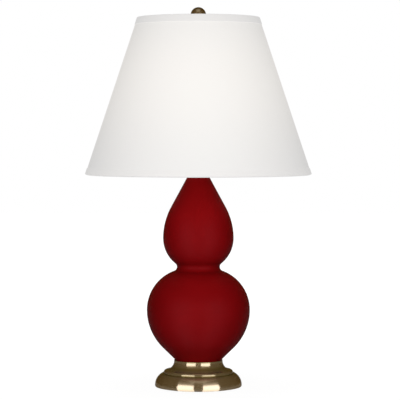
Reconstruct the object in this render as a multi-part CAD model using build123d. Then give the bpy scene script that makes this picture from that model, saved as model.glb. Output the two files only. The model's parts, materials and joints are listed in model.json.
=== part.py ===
"""Accent table lamp: a double-gourd ceramic body on a turned brass foot, with a harp and a cone shade.

Millimetres, +Z up, the origin on the table under the lamp's axis. The front faces -Y.
"""
import math
import os

from build123d import *

# Felt pad and brass foot
FELT_THICKNESS = 2.0
FELT_PROUD = 0.8
FELT_MARGIN = 4.4
FELT_FIT = 0.3
FOOT_RADIUS = 66.3
FOOT_WALL = 3.0
FOOT_FLANGE = 10.0
FOOT_FLANGE_THICKNESS = 1.2
FOOT_LIP = 2.2
FOOT_LIP_TUCK = 0.8
DOME_RISE = 17.9
DOME_INSET = 10.8
GROOVE_STEP = 2.5
BEAD_STRAIGHT = 1.4
BEAD_HEIGHT = 5.0
BEAD_INSET = 2.8
COVE_RISE = 13.9
COVE_LEDGE = 2.2
COLLAR_STRAIGHT = 1.4
COLLAR_WALL = 1.4
COLLAR_GRIP = 2.6
FOOT_FLOOR = 3.0
FOOT_EDGE_ROUND = 0.4

# Gasket under the ceramic
FOOT_GASKET_THICKNESS = 1.2
FOOT_GASKET_WIDTH = 14.0

# Ceramic gourd, heights above its own foot
GOURD_HEIGHT = 289.5
GOURD_FOOT_RADIUS = 35.2
GOURD_FOOT_RING = 2.8
GOURD_FIT = 0.4
GOURD_WALL = 6.0
GOURD_FLOOR = 7.0
BELLY_RADIUS = 78.6
BELLY_RISE = 79.1
FLANK_SHARE = 0.54
WAIST_RADIUS = 32.7
WAIST_RISE = 144.8
WAIST_CURVE = 6.7
LOBE_RADIUS = 53.8
LOBE_RISE = 188.7
SLOPE_SHARE = 0.30
NECK_RADIUS = 15.2
NECK_STRAIGHT = 4.6
NECK_ROUND = 6.0
NECK_LIP_ROUND = 1.0
GOURD_HOLE_FIT = 2.6

# Threaded pipe and its fasteners
PIPE_RADIUS = 4.85
PIPE_BORE = 3.3
PIPE_FIT = 0.25
PIPE_TAIL = 3.0
PIPE_HEAD = 1.5
THREAD_FIT = 0.05
WASHER_RADIUS = 18.0
WASHER_THICKNESS = 1.6
LOCK_WASHER_WIDTH = 3.2
LOCK_WASHER_THICKNESS = 0.9
LOCK_WASHER_SPLIT = 1.2
NUT_FLATS = 14.3
NUT_THICKNESS = 4.0

# Cord inlet bushing in the back of the foot
CORD_BORE = 3.0
BUSHING_WALL = 1.0
BUSHING_FIT = 0.1
BUSHING_FLANGE = 1.6
BUSHING_FLANGE_THICKNESS = 1.4
BUSHING_BARB = 0.5
BUSHING_BARB_LENGTH = 2.0
BUSHING_BARB_GAP = 0.6
BUSHING_TILT = 18.0
BUSHING_SPOT_DEPTH = 0.8

# Neck stack above the ceramic
NECK_GASKET_THICKNESS = 1.0
NECK_GASKET_MARGIN = 1.0
CAP_FIT = 0.4
CAP_WALL = 1.4
CAP_SKIRT = 3.0
CAP_ROUND = 1.0
NECK_COLLAR_HEIGHT = 9.7
NECK_COLLAR_RADIUS = 7.6
NECK_COLLAR_WAIST = 0.8

# Saddle, harp and ferrules
SADDLE_SPAN = 57.2
SADDLE_WIDTH = 13.0
SADDLE_ARM_WIDTH = 7.4
SADDLE_THICKNESS = 1.8
SADDLE_RISE = 13.0
SADDLE_BEND = 6.0
WIRE_RADIUS = 2.3
LAP_LENGTH = 10.0
LAP_GAP = 0.1
HARP_HEIGHT = 203.0
HARP_WIDTH = 100.0
HARP_LEG = 33.0
HARP_BOW_RISE = 58.0
HARP_CROWN = 30.0
HARP_EYE_RADIUS = 7.0
FERRULE_LENGTH = 14.0
FERRULE_FIT = 0.25
FERRULE_WALL = 1.2
FERRULE_SEAT = 0.05

# Swivel stud on top of the harp
STUD_RADIUS = 3.1
STUD_LENGTH = 18.0
STUD_FLANGE_RADIUS = 6.6
STUD_FLANGE = 1.5
STUD_SHANK = 2.4
STUD_HEAD_RADIUS = 4.2
STUD_HEAD = 1.3
STUD_HEAD_FIT = 0.4
SWIVEL_FIT = 0.05

# Socket, heights above its own lower face
SOCKET_HEIGHT = 58.0
SOCKET_RADIUS = 16.8
SOCKET_WALL = 0.8
SOCKET_FIT = 0.1
SOCKET_HUB_RADIUS = 8.0
SOCKET_HUB_STRAIGHT = 4.2
SOCKET_HUB_HEIGHT = 7.5
SOCKET_CAP_HEIGHT = 20.0
SOCKET_LEDGE_RISE = 14.0
SOCKET_LEDGE_THICKNESS = 1.5
SOCKET_ROLL = 1.0
SLEEVE_WALL = 0.7
SLEEVE_RECESS = 1.2
BODY_RADIUS = 13.0
BODY_HEIGHT = 19.0
BODY_FLANGE = 3.0
BODY_FLANGE_SEAT = 1.5
SCREW_SHELL_HEIGHT = 22.0
SCREW_SHELL_WALL = 0.5
CONTACT_WINDOW = 6.0
CONTACT_LIFT = 3.2
CONTACT_WIDTH = 4.0
CONTACT_THICKNESS = 0.5
SET_SCREW_RADIUS = 1.5
SET_SCREW_HEAD_RADIUS = 2.0
SET_SCREW_HEAD = 2.0
TERMINAL_RISE = 8.5
TERMINAL_RADIUS = 1.6
TERMINAL_DEPTH = 5.0
TERMINAL_HEAD_RADIUS = 2.8
TERMINAL_HEAD = 1.6

# Switch knob and shaft
SHAFT_RADIUS = 2.0
SHAFT_RISE = 13.0
SHAFT_DEPTH = 10.0
SHAFT_WINDOW_FIT = 1.0
KNOB_RADIUS = 5.8
KNOB_LENGTH = 14.0
KNOB_GRIP = 10.0
KNOB_STANDOFF = 2.4
KNOB_FLUTES = 12
KNOB_FLUTE_RADIUS = 0.8
KNOB_ROUND = 1.0

# Bulb, heights above its own contact
BULB_RADIUS = 30.0
BULB_HEIGHT = 110.0
BULB_GLASS = 0.9
BULB_NECK_RADIUS = 13.0
BULB_NECK_RISE = 28.0
BULB_SHARE = 0.8
BULB_ROOT_RISE = 14.0
BULB_CAP_RADIUS = 13.1
BULB_CAP_RISE = 6.0
BULB_CAP_TOP = 26.0
BULB_CAP_WALL = 0.5
BULB_CAP_FIT = 0.3
THREAD_TURNS = 4
THREAD_DEPTH = 0.8
BULB_THREAD_RISE = 8.0
BULB_THREAD_TOP = 23.0
INSULATOR_RADIUS = 9.0
INSULATOR_TAPER = 3.8
BULB_CONTACT_RADIUS = 4.4
BULB_CONTACT_THICKNESS = 1.2
STEM_RADIUS = 3.6
STEM_TOP = 48.0
STEM_FLARE_HEIGHT = 6.0
STEM_FIT = 0.15
LEAD_RADIUS = 0.5
LEAD_SPREAD = 2.2
LEAD_TOP = 70.0
LEAD_ROOT = 4.0
FILAMENT_RADIUS = 0.7
FILAMENT_HALF_SPAN = 9.0

# Shade
SHADE_TOP_RADIUS = 92.6
SHADE_BOTTOM_RADIUS = 171.7
SHADE_HEIGHT = 236.9
FABRIC_THICKNESS = 0.6
LINING_THICKNESS = 0.4
GLUE_GAP = 0.05
RING_RADIUS = 1.6
RING_INSET = 2.2
TRIM_THICKNESS = 0.7
TOP_TRIM_HEIGHT = 10.8
BOTTOM_TRIM_HEIGHT = 8.8
TRIM_INNER_HEIGHT = 6.5
SPIDER_DROP = 17.5
SPIDER_ARMS = 3
SPIDER_FIRST_ARM = 90.0
ARM_RADIUS = 1.5
ARM_LEVEL_RUN = 26.0
ARM_BEND = 12.0
ARM_BITE = 0.4
ARM_NOTCH_FIT = 0.3
HUB_RADIUS = 13.0
HUB_THICKNESS = 2.2
HUB_FIT = 0.3

# Finial
FINIAL_HEIGHT = 31.3
FINIAL_RADIUS = 11.8
FINIAL_SKIRT_RADIUS = 8.4
FINIAL_SKIRT = 2.6
FINIAL_NECK_RADIUS = 5.2
FINIAL_NECK_STRAIGHT = 1.6
FINIAL_FIT = 0.15
FINIAL_HOLE_SPARE = 1.5

# Heights worked out from the table up
RIM_Z = FELT_PROUD
WIDEST_Z = RIM_Z + FOOT_LIP
GROOVE_Z = WIDEST_Z + DOME_RISE
BEAD_TOP_Z = GROOVE_Z + BEAD_HEIGHT
COVE_TOP_Z = BEAD_TOP_Z + COVE_RISE
COLLAR_TOP_Z = COVE_TOP_Z + COLLAR_STRAIGHT
GOURD_Z = COLLAR_TOP_Z - COLLAR_GRIP
SEAT_Z = GOURD_Z - FOOT_GASKET_THICKNESS
FOOT_ROOF_Z = SEAT_Z - FOOT_FLOOR
FOOT_NUT_Z = FOOT_ROOF_Z - WASHER_THICKNESS - LOCK_WASHER_THICKNESS - NUT_THICKNESS
NECK_TOP_Z = GOURD_Z + GOURD_HEIGHT
CAP_Z = NECK_TOP_Z + NECK_GASKET_THICKNESS
NECK_COLLAR_Z = CAP_Z + CAP_WALL
SADDLE_Z = NECK_COLLAR_Z + NECK_COLLAR_HEIGHT
TOP_LOCK_Z = SADDLE_Z + SADDLE_THICKNESS
TOP_NUT_Z = TOP_LOCK_Z + LOCK_WASHER_THICKNESS
SOCKET_Z = TOP_NUT_Z + NUT_THICKNESS
PIPE_TOP_Z = SOCKET_Z + SOCKET_HUB_HEIGHT + PIPE_HEAD
LEDGE_Z = SOCKET_Z + SOCKET_LEDGE_RISE
SHELL_TOP_Z = SOCKET_Z + SOCKET_HEIGHT
BODY_TOP_Z = LEDGE_Z + BODY_HEIGHT
BULB_Z = BODY_TOP_Z + CONTACT_LIFT + CONTACT_THICKNESS + SOCKET_FIT
SHOULDER_Z = SADDLE_Z + SADDLE_RISE
HARP_SEAT_Z = SADDLE_Z + HARP_HEIGHT
HUB_Z = HARP_SEAT_Z + SWIVEL_FIT + STUD_FLANGE
FINIAL_Z = HUB_Z + HUB_THICKNESS
SHADE_TOP_Z = HUB_Z + SPIDER_DROP
SHADE_BOTTOM_Z = SHADE_TOP_Z - SHADE_HEIGHT

# Radii worked out from the fits
FELT_RADIUS = FOOT_RADIUS - FELT_MARGIN
COLLAR_INNER = GOURD_FOOT_RADIUS + GOURD_FIT
COLLAR_RADIUS = COLLAR_INNER + COLLAR_WALL
DOME_TOP_RADIUS = FOOT_RADIUS - DOME_INSET
BEAD_RADIUS = DOME_TOP_RADIUS - GROOVE_STEP
BEAD_TOP_RADIUS = BEAD_RADIUS - BEAD_INSET
COVE_RADIUS = BEAD_TOP_RADIUS - COVE_LEDGE
PIPE_HOLE = PIPE_RADIUS + PIPE_FIT
GOURD_HOLE = PIPE_RADIUS + GOURD_HOLE_FIT
SLEEVE_RADIUS = SOCKET_RADIUS - SOCKET_WALL - SOCKET_FIT
SLEEVE_INNER = SLEEVE_RADIUS - SLEEVE_WALL
CAP_RIM_INNER = SOCKET_RADIUS + SOCKET_FIT
SCREW_SHELL_INNER = BULB_CAP_RADIUS + BULB_CAP_FIT
BULB_CAP_INNER = BULB_CAP_RADIUS - THREAD_DEPTH - BULB_CAP_WALL
BULB_ROOT_RADIUS = BULB_CAP_INNER - SOCKET_FIT
FERRULE_INNER = WIRE_RADIUS + FERRULE_FIT
SHAFT_Z = LEDGE_Z + SHAFT_RISE


def turn_mid(foot, tip):
    """Middle of the arc that leaves foot upright and ends at tip."""
    run = tip[0] - foot[0]
    rise = tip[1] - foot[1]
    radius = (run * run + rise * rise) / (2 * abs(run))
    half_turn = math.atan2(abs(run), abs(rise))
    across = math.copysign(radius * (1 - math.cos(half_turn)), run)
    along = math.copysign(radius * math.sin(half_turn), rise)
    return (foot[0] + across, foot[1] + along)


def upright_arc(foot, tip):
    """Outline entry for the arc that leaves foot upright and ends at tip."""
    return (*turn_mid(foot, tip), *tip)


def arc_then_line(foot, tip, share):
    """Middle and end of an arc that leaves foot upright and runs into a straight line to tip.

    A share of 0 leaves no arc and a share of 1 leaves no line.
    """
    run = tip[0] - foot[0]
    rise = tip[1] - foot[1]
    turn = math.atan2(abs(run), abs(rise)) * (1 + share)
    radius = (abs(rise) * math.sin(turn) - abs(run) * math.cos(turn)) / (1 - math.cos(turn))
    across = math.copysign(radius * (1 - math.cos(turn)), run)
    along = math.copysign(radius * math.sin(turn), rise)
    end = (foot[0] + across, foot[1] + along)
    return (turn_mid(foot, end), end)


def lathe(outline):
    """Solid turned about Z from a closed outline of (radius, height) corners.

    A corner of four numbers is reached by an arc through its first two.
    """
    edges = []
    start = outline[-1][-2:]
    for corner in outline:
        end = corner[-2:]
        if len(corner) == 4:
            edges.append(ThreePointArc(start, corner[:2], end))
        else:
            edges.append(Line(start, end))
        start = end
    return revolve(Plane.XZ * make_face(edges), Axis.Z)


def ring(inner, outer, low, high):
    """Flat-ended tube about Z."""
    return lathe([(inner, low), (outer, low), (outer, high), (inner, high)])


def rod(radius, start, end):
    """Round rod between two points."""
    line = Vector(*end) - Vector(*start)
    place = Plane(origin=start, z_dir=line.normalized())
    return place * Cylinder(radius, line.length, align=(Align.CENTER, Align.CENTER, Align.MIN))


def round_edge(solid, radius, at_radius, at_height):
    """Round the circular edge of a turned solid that lies nearest to a radius and height."""

    def distance(edge):
        return math.hypot(edge.radius - at_radius, edge.center(CenterOf.BOUNDING_BOX).Z - at_height)

    return fillet(min(solid.edges().filter_by(GeomType.CIRCLE), key=distance), radius)


# Felt pad
def make_felt_pad():
    return Cylinder(FELT_RADIUS, FELT_THICKNESS, align=(Align.CENTER, Align.CENTER, Align.MIN))


# Brass foot, hollow under its floor
DOME_RADIUS = (DOME_INSET ** 2 + DOME_RISE ** 2) / (2 * DOME_INSET)


def on_dome(tilt, outward):
    """Radius and height at a tilt up the dome and a distance out from its face."""
    reach = DOME_RADIUS + outward
    angle = math.radians(tilt)
    return (FOOT_RADIUS - DOME_RADIUS + reach * math.cos(angle), WIDEST_Z + reach * math.sin(angle))


def on_back(outward):
    """Point on the cord inlet's axis, square to the dome at the back."""
    radius, height = on_dome(BUSHING_TILT, outward)
    return (0, radius, height)


def make_foot():
    inner_dome = on_dome(math.degrees(math.asin(DOME_RISE / DOME_RADIUS)), -FOOT_WALL)
    roof_z = inner_dome[1]
    felt_edge = FELT_RADIUS + FELT_FIT
    flange_top = FELT_THICKNESS + FOOT_FLANGE_THICKNESS
    inner_foot = (FOOT_RADIUS - FOOT_WALL, flange_top)
    shoulder = (BEAD_RADIUS, GROOVE_Z + BEAD_STRAIGHT)
    rim_corner = (FOOT_RADIUS - FOOT_LIP_TUCK, RIM_Z)
    cove_start = (COVE_RADIUS, BEAD_TOP_Z)
    collar_foot = (COLLAR_RADIUS, COVE_TOP_Z)
    outline = [
        (felt_edge, RIM_Z),
        rim_corner,
        (*turn_mid((FOOT_RADIUS, WIDEST_Z), rim_corner), FOOT_RADIUS, WIDEST_Z),
        upright_arc((FOOT_RADIUS, WIDEST_Z), (DOME_TOP_RADIUS, GROOVE_Z)),
        (BEAD_RADIUS, GROOVE_Z),
        shoulder,
        upright_arc(shoulder, (BEAD_TOP_RADIUS, BEAD_TOP_Z)),
        cove_start,
        (*turn_mid(collar_foot, cove_start), *collar_foot),
        (COLLAR_RADIUS, COLLAR_TOP_Z),
        (COLLAR_INNER, COLLAR_TOP_Z),
        (COLLAR_INNER, SEAT_Z),
        (PIPE_HOLE, SEAT_Z),
        (PIPE_HOLE, FOOT_ROOF_Z),
        (COLLAR_INNER - FOOT_WALL, FOOT_ROOF_Z),
        (COLLAR_INNER - FOOT_WALL, BEAD_TOP_Z - FOOT_WALL),
        (BEAD_TOP_RADIUS - FOOT_WALL, BEAD_TOP_Z - FOOT_WALL),
        (BEAD_TOP_RADIUS - FOOT_WALL, roof_z),
        inner_dome,
        (*turn_mid(inner_foot, inner_dome), *inner_foot),
        (FOOT_RADIUS - FOOT_FLANGE, flange_top),
        (FOOT_RADIUS - FOOT_FLANGE, FELT_THICKNESS),
        (felt_edge, FELT_THICKNESS),
    ]
    foot = lathe(outline)
    foot = round_edge(foot, FOOT_EDGE_ROUND, COLLAR_RADIUS, COLLAR_TOP_Z)
    barrel = CORD_BORE + BUSHING_WALL
    inside = on_back(-2 * FOOT_WALL)
    outside = on_back(FOOT_WALL)
    foot -= rod(barrel + BUSHING_FIT, inside, outside)
    return foot - rod(barrel + BUSHING_FLANGE + BUSHING_FIT, on_back(-BUSHING_SPOT_DEPTH), outside)


# Cord bushing, pushed into the back of the dome
def make_cord_bushing():
    barrel = CORD_BORE + BUSHING_WALL
    barb_start = FOOT_WALL - BUSHING_SPOT_DEPTH + BUSHING_BARB_GAP
    outline = [
        (CORD_BORE, -barb_start - BUSHING_BARB_LENGTH),
        (barrel - BUSHING_BARB, -barb_start - BUSHING_BARB_LENGTH),
        (barrel + BUSHING_BARB, -barb_start),
        (barrel, -barb_start),
        (barrel, 0),
        (barrel + BUSHING_FLANGE, 0),
        (barrel + BUSHING_FLANGE, BUSHING_FLANGE_THICKNESS),
        (CORD_BORE, BUSHING_FLANGE_THICKNESS),
    ]
    seat = on_back(-BUSHING_SPOT_DEPTH)
    axis = Vector(*on_back(0)) - Vector(*seat)
    return Plane(origin=seat, x_dir=(1, 0, 0), z_dir=axis.normalized()) * lathe(outline)


# Gasket between the foot's seat and the ceramic
def make_foot_gasket():
    outer = COLLAR_INNER - GOURD_FIT
    return ring(outer - FOOT_GASKET_WIDTH, outer, SEAT_Z, GOURD_Z)


def gourd_side(inset, foot_rise):
    """Outline entries up the gourd's side, each radius less an inset."""
    foot = (GOURD_FOOT_RADIUS - inset, GOURD_Z + foot_rise)
    belly = (BELLY_RADIUS - inset, GOURD_Z + BELLY_RISE)
    waist = (WAIST_RADIUS - inset, GOURD_Z + WAIST_RISE)
    lobe = (LOBE_RADIUS - inset, GOURD_Z + LOBE_RISE)
    neck = (NECK_RADIUS - inset, NECK_TOP_Z - NECK_STRAIGHT)
    flank_mid, flank = arc_then_line(belly, foot, FLANK_SHARE)
    slope_mid, slope = arc_then_line(lobe, neck, SLOPE_SHARE)
    waist_centre = (waist[0] + WAIST_CURVE, waist[1])
    shoulder = waist_touch(belly, waist_centre)
    hip = waist_touch(lobe, waist_centre)
    return [
        foot,
        flank,
        (*flank_mid, *belly),
        upright_arc(belly, shoulder),
        (*waist, *hip),
        (*turn_mid(lobe, hip), *lobe),
        (*slope_mid, *slope),
        neck,
    ]


def waist_touch(widest, centre):
    """Where the arc from a lobe's widest point meets the small arc of the waist."""
    across = widest[0] - centre[0]
    along = widest[1] - centre[1]
    radius = (across ** 2 + along ** 2 - WAIST_CURVE ** 2) / (2 * (across + WAIST_CURVE))
    lobe_centre = (widest[0] - radius, widest[1])
    share = WAIST_CURVE / (radius + WAIST_CURVE)
    return tuple(c + (l - c) * share for c, l in zip(centre, lobe_centre))


# Hollow ceramic gourd
def make_gourd():
    outside = lathe([
        (0, GOURD_Z),
        (GOURD_FOOT_RADIUS, GOURD_Z),
        *gourd_side(0, GOURD_FOOT_RING),
        (NECK_RADIUS, NECK_TOP_Z),
        (0, NECK_TOP_Z),
    ])
    outside = round_edge(outside, NECK_ROUND, NECK_RADIUS, NECK_TOP_Z - NECK_STRAIGHT)
    outside = round_edge(outside, NECK_LIP_ROUND, NECK_RADIUS, NECK_TOP_Z)
    hollow = lathe([
        (0, GOURD_Z + GOURD_FLOOR),
        *gourd_side(GOURD_WALL, GOURD_FLOOR),
        (NECK_RADIUS - GOURD_WALL, NECK_TOP_Z),
        (0, NECK_TOP_Z),
    ])
    hole = rod(GOURD_HOLE, (0, 0, GOURD_Z), (0, 0, GOURD_Z + GOURD_FLOOR))
    return outside - hollow - hole


# Pipe from the foot to the socket
def make_pipe():
    return ring(PIPE_BORE, PIPE_RADIUS, FOOT_NUT_Z - PIPE_TAIL, PIPE_TOP_Z)


def make_foot_washer():
    return ring(PIPE_HOLE, WASHER_RADIUS, FOOT_ROOF_Z - WASHER_THICKNESS, FOOT_ROOF_Z)


# Split lock washers, one under the foot and one on the saddle
def make_lock_washers():
    washers = []
    edge = PIPE_HOLE + LOCK_WASHER_WIDTH
    split = Box(2 * LOCK_WASHER_WIDTH + PIPE_FIT, LOCK_WASHER_SPLIT, 2 * LOCK_WASHER_THICKNESS)
    for low in (FOOT_NUT_Z + NUT_THICKNESS, TOP_LOCK_Z):
        washer = ring(PIPE_HOLE, edge, low, low + LOCK_WASHER_THICKNESS)
        washers.append(washer - Pos(edge, 0, low) * split)
    return washers


# Hex nuts on the pipe, one under the foot and one on the saddle
def make_pipe_nuts():
    nuts = []
    for low in (FOOT_NUT_Z, TOP_NUT_Z):
        blank = RegularPolygon(NUT_FLATS / 2, 6, major_radius=False) - Circle(PIPE_RADIUS + THREAD_FIT)
        nuts.append(extrude(Pos(0, 0, low) * blank, NUT_THICKNESS))
    return nuts


# Neck stack on top of the ceramic
def make_neck_gasket():
    return ring(NECK_RADIUS - GOURD_WALL, NECK_RADIUS - NECK_GASKET_MARGIN, NECK_TOP_Z, CAP_Z)


def make_vase_cap():
    inner = NECK_RADIUS + CAP_FIT
    outer = inner + CAP_WALL
    cap = lathe([
        (PIPE_HOLE, CAP_Z),
        (inner, CAP_Z),
        (inner, CAP_Z - CAP_SKIRT),
        (outer, CAP_Z - CAP_SKIRT),
        (outer, NECK_COLLAR_Z),
        (PIPE_HOLE, NECK_COLLAR_Z),
    ])
    return round_edge(cap, CAP_ROUND, outer, NECK_COLLAR_Z)


def make_neck_collar():
    waist = (NECK_COLLAR_RADIUS - NECK_COLLAR_WAIST, (NECK_COLLAR_Z + SADDLE_Z) / 2)
    return lathe([
        (PIPE_HOLE, NECK_COLLAR_Z),
        (NECK_COLLAR_RADIUS, NECK_COLLAR_Z),
        (*waist, NECK_COLLAR_RADIUS, SADDLE_Z),
        (PIPE_HOLE, SADDLE_Z),
    ])


# Bent-strip saddle with a half-round prong on each arm
def make_saddle():
    half = SADDLE_SPAN / 2
    mid_z = SADDLE_Z + SADDLE_THICKNESS / 2
    corners = [(-half, SHOULDER_Z), (-half, mid_z), (half, mid_z), (half, SHOULDER_Z)]
    strip = Plane.XZ * trace(FilletPolyline(*corners, radius=SADDLE_BEND), SADDLE_THICKNESS)
    strip = extrude(strip, SADDLE_WIDTH / 2, both=True)
    side = SADDLE_WIDTH / 2
    arm = SADDLE_ARM_WIDTH / 2
    taper_low = SADDLE_Z + SADDLE_THICKNESS
    taper_high = SADDLE_Z + SADDLE_BEND + SADDLE_THICKNESS
    shape = Polyline(
        (-side, SADDLE_Z), (side, SADDLE_Z), (side, taper_low), (arm, taper_high), (arm, SHOULDER_Z),
        (-arm, SHOULDER_Z), (-arm, taper_high), (-side, taper_low), close=True,
    )
    blank = extrude(Plane.YZ * make_face(shape), half + SADDLE_THICKNESS, both=True)
    saddle = strip & blank
    saddle -= rod(PIPE_HOLE, (0, 0, SADDLE_Z), (0, 0, SHOULDER_Z))
    keep = half - LAP_GAP / 2
    for side_sign in (-1, 1):
        x = side_sign * half
        prong = rod(WIRE_RADIUS, (x, 0, SHOULDER_Z), (x, 0, SHOULDER_Z + LAP_LENGTH))
        cut = Pos(side_sign * (keep + WIRE_RADIUS), 0, SHOULDER_Z + LAP_LENGTH / 2)
        saddle += prong - cut * Box(2 * WIRE_RADIUS, 4 * WIRE_RADIUS, 2 * LAP_LENGTH)
    return saddle


def harp_half_points():
    """Corners and arc middles of the harp's right half, from the leg's foot to the crown."""
    half = SADDLE_SPAN / 2
    widest = HARP_WIDTH / 2
    crown_z = HARP_SEAT_Z - WIRE_RADIUS
    leg_foot = (half, SHOULDER_Z + LAP_LENGTH + LAP_GAP)
    leg_top = (half, SHOULDER_Z + LAP_LENGTH + HARP_LEG)
    bow_mid = ((half + widest) / 2, leg_top[1] + HARP_BOW_RISE / 2)
    bow_top = (widest, leg_top[1] + HARP_BOW_RISE)
    rise = crown_z - bow_top[1]
    crown_drop = rise - HARP_CROWN
    side = (widest ** 2 + crown_drop ** 2 - HARP_CROWN ** 2) / (2 * (widest - HARP_CROWN))
    side_centre = (widest - side, bow_top[1])
    turn = math.atan2(crown_drop, -side_centre[0])
    side_end = (side_centre[0] + side * math.cos(turn), side_centre[1] + side * math.sin(turn))
    crown_turn = (turn + math.pi / 2) / 2
    crown_mid = (HARP_CROWN * math.cos(crown_turn), crown_z - HARP_CROWN + HARP_CROWN * math.sin(crown_turn))
    return [
        leg_foot,
        leg_top,
        upright_arc(leg_top, bow_mid),
        (*turn_mid(bow_top, bow_mid), *bow_top),
        upright_arc(bow_top, side_end),
        (*crown_mid, 0, crown_z),
    ]


# Harp: one bent wire with a drilled eye at the crown and a half-round lap at each foot
def make_harp():
    half = SADDLE_SPAN / 2
    points = harp_half_points()
    edges = []
    for before, corner in zip(points, points[1:]):
        start = before[-2:]
        end = corner[-2:]
        if len(corner) == 4:
            edges.append(ThreePointArc(start, corner[:2], end))
        else:
            edges.append(Line(start, end))
    path = Plane.XZ * Wire(edges)
    leg = sweep(Pos(half, 0, points[0][1]) * Circle(WIRE_RADIUS), path)
    lap = rod(WIRE_RADIUS, (half, 0, SHOULDER_Z + LAP_GAP), (half, 0, points[0][1]))
    keep = half + LAP_GAP / 2
    cut = Box(2 * WIRE_RADIUS, 4 * WIRE_RADIUS, 2 * (LAP_LENGTH + LAP_GAP))
    leg += lap - Pos(keep - WIRE_RADIUS, 0, SHOULDER_Z) * cut
    eye = rod(HARP_EYE_RADIUS, (0, 0, HARP_SEAT_Z - 2 * WIRE_RADIUS), (0, 0, HARP_SEAT_Z))
    harp = leg + mirror(leg, Plane.YZ) + eye
    below = (0, 0, HARP_SEAT_Z - 4 * WIRE_RADIUS)
    harp -= rod(STUD_HEAD_RADIUS + STUD_HEAD_FIT, below, (0, 0, HARP_SEAT_Z - 2 * WIRE_RADIUS))
    return harp - rod(STUD_SHANK + SWIVEL_FIT, below, (0, 0, HARP_SEAT_Z))


# Sleeve that locks one harp leg to its prong
def make_ferrule(side_sign):
    low = SHOULDER_Z + FERRULE_SEAT
    sleeve = ring(FERRULE_INNER, FERRULE_INNER + FERRULE_WALL, low, low + FERRULE_LENGTH)
    return Pos(side_sign * SADDLE_SPAN / 2, 0, 0) * sleeve


# Stud riveted through the harp's eye so that it swivels
def make_harp_stud():
    eye_low = HARP_SEAT_Z - 2 * WIRE_RADIUS - SWIVEL_FIT
    flange_low = HARP_SEAT_Z + SWIVEL_FIT
    return lathe([
        (0, eye_low - STUD_HEAD),
        (STUD_HEAD_RADIUS, eye_low - STUD_HEAD),
        (STUD_HEAD_RADIUS, eye_low),
        (STUD_SHANK, eye_low),
        (STUD_SHANK, flange_low),
        (STUD_FLANGE_RADIUS, flange_low),
        (STUD_FLANGE_RADIUS, HUB_Z),
        (STUD_RADIUS, HUB_Z),
        (STUD_RADIUS, HUB_Z + STUD_LENGTH),
        (0, HUB_Z + STUD_LENGTH),
    ])


# Socket cap, with a threaded hub and a ledge for the shell
def make_socket_cap():
    rim = CAP_RIM_INNER + SOCKET_WALL
    bell_foot = (SOCKET_HUB_RADIUS, SOCKET_Z + SOCKET_HUB_STRAIGHT)
    ledge = SLEEVE_INNER - SOCKET_FIT - BODY_FLANGE_SEAT
    cap = lathe([
        (PIPE_RADIUS + THREAD_FIT, SOCKET_Z),
        (SOCKET_HUB_RADIUS, SOCKET_Z),
        bell_foot,
        (*turn_mid((rim, LEDGE_Z), bell_foot), rim, LEDGE_Z),
        (rim, SOCKET_Z + SOCKET_CAP_HEIGHT),
        (CAP_RIM_INNER, SOCKET_Z + SOCKET_CAP_HEIGHT),
        (CAP_RIM_INNER, LEDGE_Z),
        (ledge, LEDGE_Z),
        (ledge, LEDGE_Z - SOCKET_LEDGE_THICKNESS),
        (PIPE_RADIUS + THREAD_FIT, SOCKET_Z + SOCKET_HUB_HEIGHT),
    ])
    screw_z = SOCKET_Z + SOCKET_HUB_STRAIGHT / 2
    hole = rod(SET_SCREW_RADIUS + THREAD_FIT, (PIPE_RADIUS, 0, screw_z), (2 * SOCKET_HUB_RADIUS, 0, screw_z))
    return cap - hole


# Set screw that stops the socket turning on the pipe
def make_socket_set_screw():
    screw_z = SOCKET_Z + SOCKET_HUB_STRAIGHT / 2
    seat = SOCKET_HUB_RADIUS + SOCKET_FIT
    shank = rod(SET_SCREW_RADIUS, (PIPE_RADIUS + THREAD_FIT, 0, screw_z), (seat, 0, screw_z))
    head = rod(SET_SCREW_HEAD_RADIUS, (seat, 0, screw_z), (seat + SET_SCREW_HEAD, 0, screw_z))
    slot = Box(SET_SCREW_HEAD, SET_SCREW_RADIUS / 2, 3 * SET_SCREW_HEAD_RADIUS)
    return shank + head - Pos(seat + SET_SCREW_HEAD, 0, screw_z) * slot


def shaft_window(solid):
    """Clear a way for the switch shaft through a wall of the socket."""
    reach = 2 * SOCKET_RADIUS
    return solid - rod(SHAFT_RADIUS + SHAFT_WINDOW_FIT, (0, 0, SHAFT_Z), (0, -reach, SHAFT_Z))


# Socket shell with a rolled-in mouth
def make_socket_shell():
    inner = SOCKET_RADIUS - SOCKET_WALL
    roll_foot = (SOCKET_RADIUS, SHELL_TOP_Z - SOCKET_ROLL)
    shell = lathe([
        (inner, LEDGE_Z),
        (SOCKET_RADIUS, LEDGE_Z),
        roll_foot,
        upright_arc(roll_foot, (SOCKET_RADIUS - SOCKET_ROLL, SHELL_TOP_Z)),
        (inner - SOCKET_ROLL, SHELL_TOP_Z),
        (inner - SOCKET_ROLL, SHELL_TOP_Z - SOCKET_WALL),
        (inner, SHELL_TOP_Z - SOCKET_WALL),
    ])
    return shaft_window(shell)


def make_socket_sleeve():
    return shaft_window(ring(SLEEVE_INNER, SLEEVE_RADIUS, LEDGE_Z, SHELL_TOP_Z - SLEEVE_RECESS))


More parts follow.
